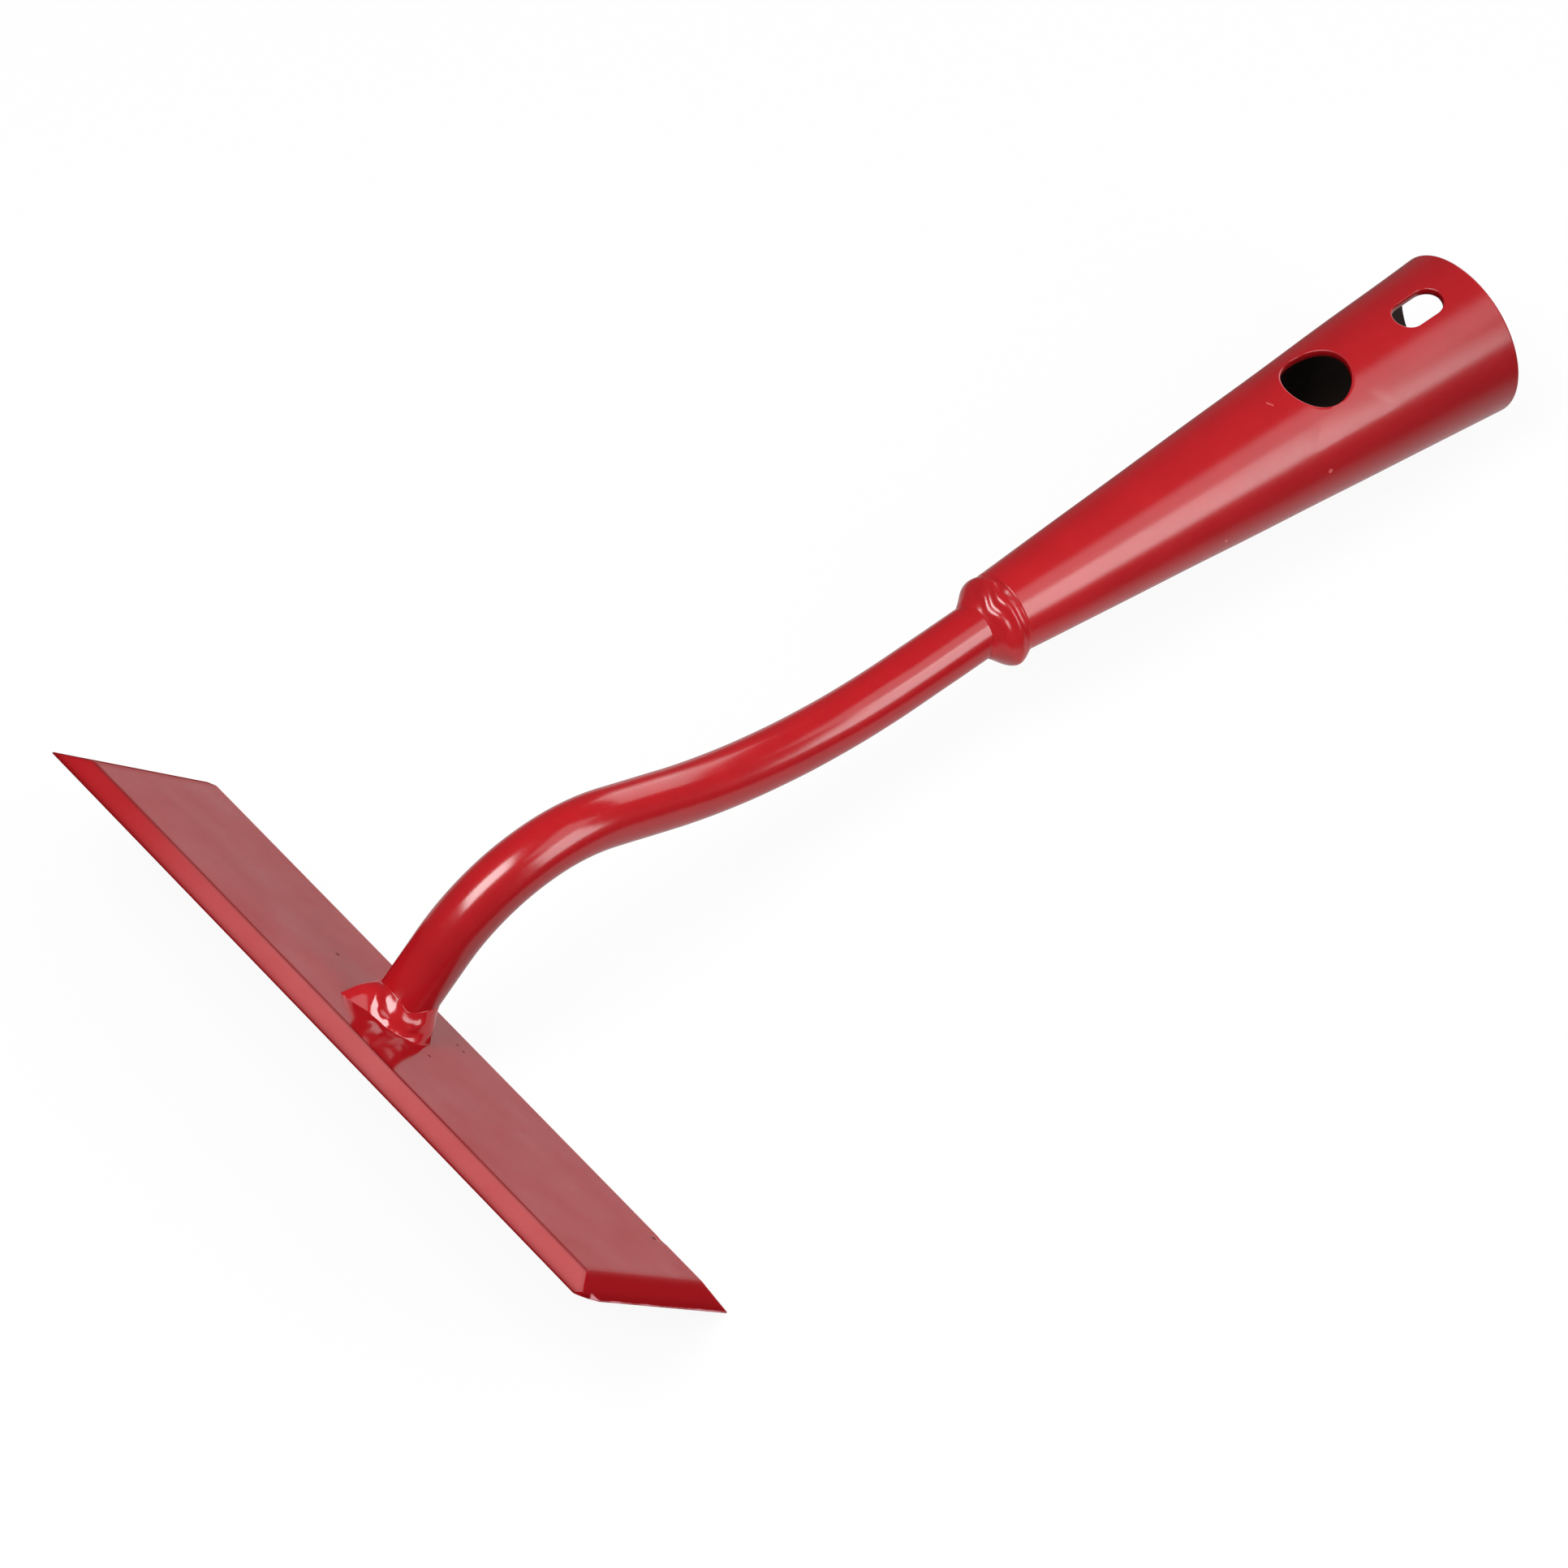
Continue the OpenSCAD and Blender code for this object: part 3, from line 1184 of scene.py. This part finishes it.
    def cut_wall(self, draft: MeshDraft, opening: Opening, outer_rim: WallGrid, inner_rim: WallGrid) -> None:
        """Make the edge of an opening: both surrounds and the cut face between them, chamfered at both ends.

        Args:
            draft: Draft that takes the points and faces.
            opening: The opening.
            outer_rim: Rim of the block on the outer wall.
            inner_rim: Rim of the block on the inner wall.
        """
        outer = self.surround(draft, opening, outer_rim, False)
        inner = self.surround(draft, opening, inner_rim, True)
        across, z = self.edge_of(opening, outer_rim, False, 0.0)
        depth = np.array((self.edge_rounding, self.wall / 2, self.wall - self.edge_rounding))[:, None]
        radius = self.radius(z, False) - depth
        # The cut face of each opening is darkened by painted shade.
        cut = draft.add_points(self.on_wall(np.arcsin(across / radius), radius, z), tone=self.cut_tone)
        draft.add_faces(np.concatenate((outer[None], cut, inner[None])), closed=True, slot=self.OUTER_PAINT)

    def build(self) -> bpy.types.Object:
        """Make the socket: outer and inner wall on one grid, the openings, both ends and the open seam.

        Returns:
            The piece.
        """
        draft = MeshDraft(*Paint.MASKS)
        outer = self.side(draft, False)
        inner = self.side(draft, True)
        keep = np.ones((outer.index.shape[0] - 1, outer.index.shape[1] - 1), dtype=bool)
        for opening in self.openings:
            rows, columns = self.block(opening, outer)
            keep[rows.start : rows.stop - 1, columns.start : columns.stop - 1] = False
            self.cut_wall(draft, opening, outer.rim(rows, columns), inner.rim(rows, columns))
        draft.add_faces(outer.index, keep=keep, slot=self.OUTER_PAINT)
        draft.add_faces(inner.index, keep=keep, slot=self.INNER_STEEL)
        for end in (0, -1):
            draft.add_faces(np.stack((outer.index[end], inner.index[end])), slot=self.OUTER_PAINT)
            draft.add_faces(np.stack((outer.index[:, end], inner.index[:, end])), slot=self.OUTER_PAINT)
        spots = [
            Spot.at(self.on_wall(np.radians(angle), self.radius(z, False), z), radius)
            for angle, z, radius in self.specks
        ]
        materials = (self.finish.material(spots), self.inside.material())
        return dress(draft.build("painted_socket", self.crease, *materials), "socket")


WELD_PAINT = Paint(
    name="weld_gloss_paint",
    colour=(0.46, 0.0075, 0.0125),
    shade=(0.38, 0.005, 0.009),
    gloss=0.8,
    roughness=0.14,
    blotch_size=4.0,
    peel_size=1.4,
    peel_depth=0.008,
)


@dataclass
class BladeWeld:
    """Lumpy weld round the bar's foot, run out to an ear on the left."""

    placement: Placement
    plate: float = 3.0
    bar_radius: float = 6.0
    bar_lean: float = 2.5
    reach: float = 7.6
    climb: float = 6.3
    ear_twist: float = 22.0
    sunk: float = 0.3
    around: int = 288
    rows: int = 56
    lumps: Waves = Waves(height=0.11, length=5.0, seed=5)
    ripples: Waves = Waves(height=0.012, length=2.2, seed=9)
    relief_start: float = 0.3
    crease: float = 60.0
    ear_lobes: tuple[Lobe, ...] = (
        Lobe(direction=243, height=4.7, half_width=13),
        Lobe(direction=228, height=1.0, half_width=32),
    )
    reach_lobes: tuple[Lobe, ...] = (
        Lobe(direction=281, height=-0.1, half_width=16),
        Lobe(direction=308, height=0.45, half_width=20),
        Lobe(direction=15, height=1.2, half_width=34),
    )
    climb_lobes: tuple[Lobe, ...] = (
        Lobe(direction=25, height=1.0, half_width=30),
        Lobe(direction=222, height=-1.4, half_width=30),
        Lobe(direction=281, height=-0.6, half_width=20),
        Lobe(direction=318, height=-1.8, half_width=24),
    )
    finish: Paint = WELD_PAINT

    def surface(self, angle: Array, share: Array) -> tuple[Array, Array]:
        """Give the weld's face, from its toe on the plate to the bar.

        The height grows evenly with the share, and the radius falls evenly from the toe to the bar. The ear
        turns with the share, so that it leans. Lumps and ripples follow sin(pi t), where t goes from the
        relief's start at the toe to 1 at the bar, so that they fade out there.

        Args:
            angle: Directions from the bar's axis, in radians.
            share: 0 at the toe, 1 at the bar.

        Returns:
            Radii and heights above the plate.
        """
        leaning = angle + share * math.radians(self.ear_twist)
        toe = lobed(leaning, self.reach, self.ear_lobes) + lobed(angle, 0.0, self.reach_lobes)
        height = lobed(angle, self.climb, self.climb_lobes) * share
        radius = toe + (self.bar_radius - toe) * share
        u = self.bar_radius * np.cos(angle) + height
        v = self.bar_radius * np.sin(angle) - height
        relief = self.lumps.at(u, v) + self.ripples.at(u, v)
        fade = np.sin(np.pi * (self.relief_start + (1 - self.relief_start) * share))
        return radius + relief * fade, height

    def build(self) -> bpy.types.Object:
        """Make the weld: its face, closed behind by two rings sunk in the plate and in the bar.

        Returns:
            The piece.
        """
        angle, share = ring_grid(self.around, self.rows)
        radius, height = self.surface(angle, share)
        inside = np.full((1, self.around), self.bar_radius - self.sunk)
        below = np.full((1, self.around), -self.sunk)
        radius = np.concatenate((inside, radius[:1], radius, inside))
        height = np.concatenate((below, below, height, height[-1:] + self.sunk))
        lean = np.clip(height, 0, None) * math.tan(math.radians(self.bar_lean))
        x = radius * np.cos(angle[:1])
        y = radius * np.sin(angle[:1]) - lean
        draft = MeshDraft(*Paint.MASKS)
        index = draft.add_points(self.placement.to_part(x, y, self.plate + height))
        draft.add_faces(np.concatenate((index, index[:1])), closed=True)
        piece = draft.build("painted_blade_weld", self.crease, self.finish.material())
        return dress(piece, "blade_weld")


@dataclass
class SocketWeld:
    """Weld between the bar and the socket's small end, laid on askew in several passes."""

    placement: Placement
    bar_radius: float = 6.0
    bar_lean: float = 5.0
    end_radius: float = 9.0
    taper: float = 0.0748
    on_bar: float = 7.0
    on_socket: float = 0.4
    bulge: float = 0.45
    edge_height: float = 0.45
    edge_width: float = 0.3
    sunk: float = 0.35
    socket_sunk: float = 0.12
    core_sunk: float = 1.35
    around: int = 288
    rows: int = 72
    pass_pitch: float = 2.8
    pass_crest: float = -2.1
    pass_slant: float = 0.04
    pass_height: float = 0.22
    pass_middle: float = 25.0
    pass_narrowing: int = 3
    pass_wobble: Waves = Waves(height=0.7, length=8.0, seed=23)
    ripples: Waves = Waves(height=0.06, length=8.0, seed=21)
    relief_fade: float = 0.8
    crease: float = 60.0
    bar_lobes: tuple[Lobe, ...] = (
        Lobe(direction=-50, height=0.9, half_width=35),
        Lobe(direction=100, height=1.1, half_width=30),
    )
    socket_lobes: tuple[Lobe, ...] = (
        Lobe(direction=0, height=0.7, half_width=25),
        Lobe(direction=123, height=1.9, half_width=40),
        Lobe(direction=-62, height=0.9, half_width=40),
    )
    bulge_lobes: tuple[Lobe, ...] = (
        Lobe(direction=125, height=2.0, half_width=42),
        Lobe(direction=-62, height=0.7, half_width=40),
    )
    finish: Paint = replace(WELD_PAINT, name="weld_satin_paint", roughness=0.22)

    def relief(self, angle: Array, z: Array) -> Array:
        """Give the passes and ripples.

        A pass is a wavering ridge round the bar, a cosine of the place along the axis. The passes are highest
        at the middle direction and fade with ((1 + cos away) / 2) to the power of the narrowing.

        Args:
            angle: Angles from the top towards the right, in radians.
            z: Places along the axis, from the socket's small end.

        Returns:
            Heights above the plain skin.
        """
        u = self.end_radius * np.cos(angle) + z
        v = self.end_radius * np.sin(angle)
        turn = np.mod(angle + np.pi, 2 * np.pi) - np.pi
        run = z - self.pass_crest + self.pass_slant * self.end_radius * turn
        ridge = np.cos(2 * np.pi * run / self.pass_pitch + self.pass_wobble.at(u, v))
        fade = ((1 + np.cos(turn - math.radians(self.pass_middle))) / 2) ** self.pass_narrowing
        return self.pass_height * ridge * fade + self.ripples.at(u, v)

    def surface(self, angle: Array, share: Array) -> tuple[Array, Array]:
        """Give the weld's skin, from the bar to the socket.

        The radius goes evenly from the bar to the socket with the share s, plus bulge * sin(pi s)**2, plus a
        raised edge on the bar, plus the relief, which fades out at both ends.

        Args:
            angle: Angles from the top towards the right, in radians.
            share: 0 on the bar, 1 on the socket.

        Returns:
            Radii and places along the axis.
        """
        start = -lobed(angle, self.on_bar, self.bar_lobes)
        end = lobed(angle, self.on_socket, self.socket_lobes)
        z = start + (end - start) * share
        inner = self.bar_radius - self.sunk
        outer = self.end_radius + self.taper * end - self.socket_sunk
        arch = np.sin(np.pi * share)
        bulge = lobed(angle, self.bulge, self.bulge_lobes)
        edge = self.edge_height * (1 - np.exp(-(z - start) / self.edge_width)) * (1 - share)
        radius = inner + (outer - inner) * share + self.sunk * arch + bulge * arch**2 + edge
        return radius + self.relief(angle, z) * arch**self.relief_fade, z

    def build(self) -> bpy.types.Object:
        """Make the weld: its skin, closed inside by a sunk ring at each end.

        Returns:
            The piece.
        """
        angle, share = ring_grid(self.around, self.rows)
        radius, z = self.surface(angle, share)
        core = np.full((1, self.around), self.bar_radius - self.core_sunk)
        radius = np.concatenate((core, radius, core))
        z = np.concatenate((z[:1], z, z[-1:]))
        drop = math.tan(math.radians(self.bar_lean)) * np.clip(z, None, 0)
        x = radius * np.sin(angle[:1])
        height = radius * np.cos(angle[:1]) + drop
        draft = MeshDraft(*Paint.MASKS)
        index = draft.add_points(self.placement.to_part(x, z, height))
        draft.add_faces(np.concatenate((index, index[:1])), closed=True)
        piece = draft.build("painted_socket_weld", self.crease, self.finish.material())
        return dress(piece, "socket_weld")


@dataclass(frozen=True)
class SoftBox:
    """A studio light that faces the origin. Lengths in metres."""

    name: str
    towards: tuple[float, float, float]
    distance: float
    width: float
    height: float
    radiance: float

    def build(self) -> None:
        """Hang the light: its power is radiance * pi * area."""
        lamp = bpy.data.lights.new(self.name, "AREA")
        lamp.shape = "RECTANGLE"
        lamp.size = self.width
        lamp.size_y = self.height
        lamp.energy = self.radiance * math.pi * self.width * self.height
        away = np.array(self.towards) / np.linalg.norm(self.towards)
        holder = bpy.data.objects.new(self.name, lamp)
        holder.location = self.distance * away
        holder.rotation_euler = Vector(away).to_track_quat("Z", "Y").to_euler()
        bpy.context.scene.collection.objects.link(holder)


@dataclass
class Studio:
    """White floor, soft light and the photograph's camera. Lengths in metres, angles in degrees."""

    floor_radius: float = 3.0
    floor_drop: float = 0.0001
    floor_sides: int = 96
    floor_rings: int = 24
    floor_crease: float = 30.0
    floor_white: float = 0.8
    floor_seen: float = 0.93
    floor_mirrored: float = 0.52
    left_mirrored: float = 0.12
    left_fade: float = 0.1
    pool_middle: tuple[float, float, float] = (-0.02, -0.08, 0.0)
    pool_radius: float = 0.14
    strip_half: float = 0.038
    pool_fade: float = 0.03
    most_bounces: float = 1.5
    horizon: float = 0.05
    zenith: float = 0.42
    room_mirrored: float = 0.1
    aim: tuple[float, float, float] = (-0.0086172, -0.0260648, 0.0)
    distance: float = 1.357924
    azimuth: float = 49.49281
    elevation: float = 52.28391
    roll: float = 0.96474
    lens: float = 154.1258
    sensor: float = 36.0
    lights: tuple[SoftBox, ...] = (
        SoftBox("key_light", (-0.045, -0.39, 0.92), distance=1.07, width=0.53, height=0.58, radiance=9.0),
        SoftBox("side_light", (0.795, 0.32, 0.515), distance=0.77, width=0.4, height=0.46, radiance=4.2),
        SoftBox("upper_light", (0.416, 0.374, 0.829), distance=1.5, width=0.9, height=0.76, radiance=1.3),
        SoftBox("back_light", (-0.268, 0.913, 0.309), distance=1.6, width=1.15, height=0.74, radiance=1.9),
        SoftBox("back_glow", (-0.43, 0.89, 0.14), distance=1.6, width=0.92, height=0.5, radiance=0.9),
    )

    def build_floor(self) -> None:
        """Lay the floor: a disc of rings whose radius grows with the square of the ring's share."""
        angle, share = ring_grid(self.floor_sides, self.floor_rings)
        radius = self.floor_radius * share**2
        drop = np.full_like(radius, -self.floor_drop)
        draft = MeshDraft()
        index = draft.add_points(np.stack((radius * np.cos(angle), radius * np.sin(angle), drop), axis=-1))
        draft.add_faces(index, closed=True)
        floor = draft.build("studio_floor", self.floor_crease, self.floor_material())

    def floor_material(self) -> bpy.types.Material:
        """Make the floor's paper: matt white, and mostly white by itself for the camera.

        In mirrors the paper is an even grey in a pool round the blade and in a strip along the neck and the
        socket. Farther out it is dim on the left and dark on the right. In the mirror image of a mirror it is
        dark.

        Returns:
            The material.
        """
        material, graph = ShaderGraph.of_material("studio_paper")
        place = graph.place()
        across = graph.coordinate(place, "X")
        pool = graph.within(graph.distance(place, self.pool_middle), self.pool_radius, self.pool_fade)
        strip = graph.within(graph.math("ABSOLUTE", across, 0.0), self.strip_half, self.pool_fade)
        near = graph.math("MAXIMUM", pool, strip)
        left = graph.within(across, 0.0, self.left_fade) * self.left_mirrored
        once = graph.math("LESS_THAN", graph.ray("Glossy Depth"), self.most_bounces)
        image = once * (left + near * (self.floor_mirrored - left))
        mirrored = graph.ray("Is Glossy Ray")
        seen = graph.ray("Is Camera Ray") + graph.ray("Is Transmission Ray")
        strength = 1.0 - mirrored * (1.0 - image)
        share = (seen * self.floor_seen + mirrored).clamped()
        paper = graph.node("ShaderNodeBsdfDiffuse", {}, {"Color": opaque((self.floor_white,) * 3)})
        white = graph.node("ShaderNodeEmission", {}, {"Color": opaque(WHITE), "Strength": strength})
        graph.finish(graph.node("ShaderNodeMixShader", {}, {0: share, 1: paper, 2: white}))
        return material

    def build_world(self) -> None:
        """Light the room from above: dim at the horizon and in mirrors, white where the camera sees it."""
        world = bpy.data.worlds.new("studio_room")
        world.use_nodes = True
        bpy.context.scene.world = world
        graph = ShaderGraph(world.node_tree)
        heading = graph.node("ShaderNodeTexCoord", {}, {}, "Generated")
        height = graph.coordinate(heading, "Z").clamped()
        room = self.horizon + (self.zenith - self.horizon) * height
        level = room + graph.ray("Is Glossy Ray") * (self.room_mirrored - room)
        strength = level + graph.ray("Is Camera Ray") * (1.0 - level)
        light = graph.node("ShaderNodeBackground", {}, {"Color": opaque(WHITE), "Strength": strength})
        graph.finish(light, "ShaderNodeOutputWorld")

    def build_camera(self) -> None:
        """Set the camera at the photograph's angle: it looks at the aim point and is turned by the roll."""
        lens = bpy.data.cameras.new("photo_camera")
        lens.lens = self.lens
        lens.sensor_width = self.sensor
        lens.sensor_fit = "HORIZONTAL"
        azimuth, elevation, roll = np.radians((self.azimuth, self.elevation, self.roll))
        level = np.array((np.cos(azimuth), np.sin(azimuth), 0.0))
        behind = np.array((np.sin(azimuth), -np.cos(azimuth), 0.0))
        back = behind * np.cos(elevation) + np.array((0.0, 0.0, np.sin(elevation)))
        right = level * np.cos(roll) + np.cross(back, level) * np.sin(roll)
        pose = np.eye(4)
        pose[:3, :3] = np.stack((right, np.cross(back, right), back), axis=1)
        pose[:3, 3] = np.array(self.aim) + self.distance * back
        camera = bpy.data.objects.new("photo_camera", lens)
        camera.matrix_world = Matrix(pose.tolist())
        bpy.context.scene.collection.objects.link(camera)
        bpy.context.scene.camera = camera

    def build(self) -> None:
        """Set up the camera, the floor, the room and the lights."""
        self.build_camera()
        self.build_floor()
        self.build_world()
        for light in self.lights:
            light.build()
        bpy.context.scene.view_settings.view_transform = "Standard"


def main() -> None:
    """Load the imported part, set up the studio and dress the part."""
    logging.basicConfig(level=logging.INFO, format="%(name)s %(message)s")
    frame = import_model()
    mounts = {mount["name"]: mount for mount in frame["record"]["mounts"]}
    blade_up = -np.array(mounts["blade_underside"]["axis"])
    blade_frame = Placement.on_mount(mounts["blade_underside"], blade_up)
    socket_up = np.array(mounts["fixing_hole"]["axis"])
    socket_frame = Placement.on_mount(mounts["handle_socket"], socket_up, HandleSocket.length)
    Studio().build()
    sub_assemblies = (
        Blade(blade_frame),
        Neck(blade_frame),
        HandleSocket(socket_frame),
        BladeWeld(blade_frame),
        SocketWeld(socket_frame),
    )
    for sub_assembly in sub_assemblies:
        piece = sub_assembly.build()
        LOG.info("%s: %d faces", piece.name, len(piece.data.polygons))


if __name__ == "__main__":
    main()
